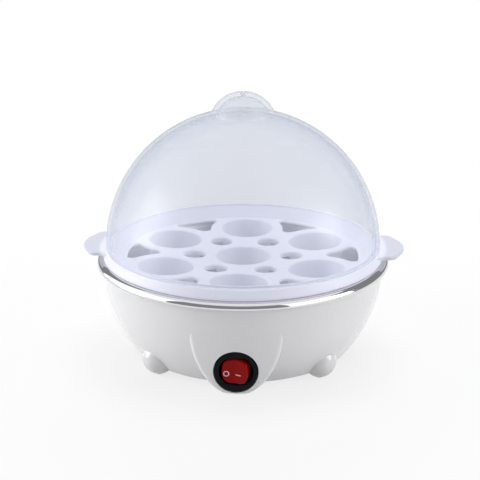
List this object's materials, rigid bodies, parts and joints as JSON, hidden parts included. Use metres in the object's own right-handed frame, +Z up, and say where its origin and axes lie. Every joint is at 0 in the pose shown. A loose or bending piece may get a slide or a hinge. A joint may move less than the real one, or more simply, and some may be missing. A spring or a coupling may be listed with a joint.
{
  "type": "electric egg cooker",
  "caption": "Round household egg cooker: bowl base with a front rocker switch, steel heating dish, perforated egg tray with two ears, and a domed translucent lid.",
  "frame": {"origin": "on the surface it stands on, under the middle of the base", "axes": "+Z up through the lid knob, -Y out through the switch, +X and -X through the two tray ears"},
  "size_m": [0.182, 0.1656, 0.1481],
  "materials": {
    "white_plastic": "moulded gloss white",
    "foot_rubber": "matt",
    "seal_rubber": "translucent silicone",
    "zinc_steel": "zinc plated",
    "spring_steel": "drawn wire",
    "dish_steel": "polished stainless sheet",
    "element_tube": "heat darkened sheath",
    "ceramic": "unglazed",
    "phenolic": "moulded",
    "brass": "plain",
    "copper": "plain",
    "black_plastic": "semi gloss",
    "red_plastic": "clear red, glossy",
    "lamp_glass": "clear",
    "lead_brown": "sleeved",
    "lead_blue": "sleeved",
    "lead_white": "glass braid",
    "lead_green": "sleeved",
    "fuse_can": "plain",
    "lilac_plastic": "translucent lilac",
    "frosted_plastic": "translucent, frosted inside"
  },
  "bodies": {
    "base": {"housing": "white_plastic", "foot_pads": "foot_rubber", "housing_screws": "zinc_steel", "dish_pillars": "zinc_steel", "heating_dish": "dish_steel", "rim_gasket": "seal_rubber", "heating_element": "element_tube", "element_beads": "ceramic", "element_pins": "zinc_steel", "element_straps": "zinc_steel", "thermostat": "phenolic", "thermostat_bracket": "zinc_steel", "bracket_nuts": "zinc_steel", "thermostat_tabs": "brass", "terminal_block": "ceramic", "terminal_sleeves": "brass", "clamp_screws": "zinc_steel", "terminal_link": "brass", "cord_gland": "black_plastic", "switch_housing": "black_plastic", "switch_terminals": "brass", "neon_lamp": "lamp_glass", "spade_receptacles": "brass", "live_lead": "lead_brown", "switched_lead": "lead_brown", "lamp_lead": "lead_blue", "thermal_fuse": "fuse_can", "heater_lead": "lead_white", "fuse_lead": "lead_white", "neutral_lead": "lead_blue", "earth_tag": "brass", "earth_nut": "zinc_steel", "earth_lead": "lead_green"},
    "rocker": {"switch_rocker": "red_plastic", "rocker_plunger": "black_plastic", "plunger_spring": "spring_steel"},
    "contact": {"moving_contact": "copper"},
    "tray": {"egg_tray": "lilac_plastic"},
    "lid": {"lid": "frosted_plastic"}
  },
  "joints": [
    {"name": "tray_lift", "type": "slide", "parent": "base", "child": "tray", "axis": [0, 0, 1], "range_m": [0, 0.06]},
    {"name": "lid_lift", "type": "slide", "parent": "tray", "child": "lid", "axis": [0, 0, 1], "range_m": [0, 0.1]},
    {"name": "rocker_tilt", "type": "hinge", "parent": "base", "child": "rocker", "pos_m": [0, -0.0738, 0.0162], "axis": [0, 0, 1], "range_deg": [0, 24]},
    {"name": "contact_tilt", "type": "hinge", "parent": "base", "child": "contact", "pos_m": [0, -0.0586, 0.0162], "axis": [0, 0, 1], "range_deg": [-18, 2]}
  ],
  "couplings": [
    {"joint": "contact_tilt", "follows": "rocker_tilt", "ratio": -0.6666}
  ]
}
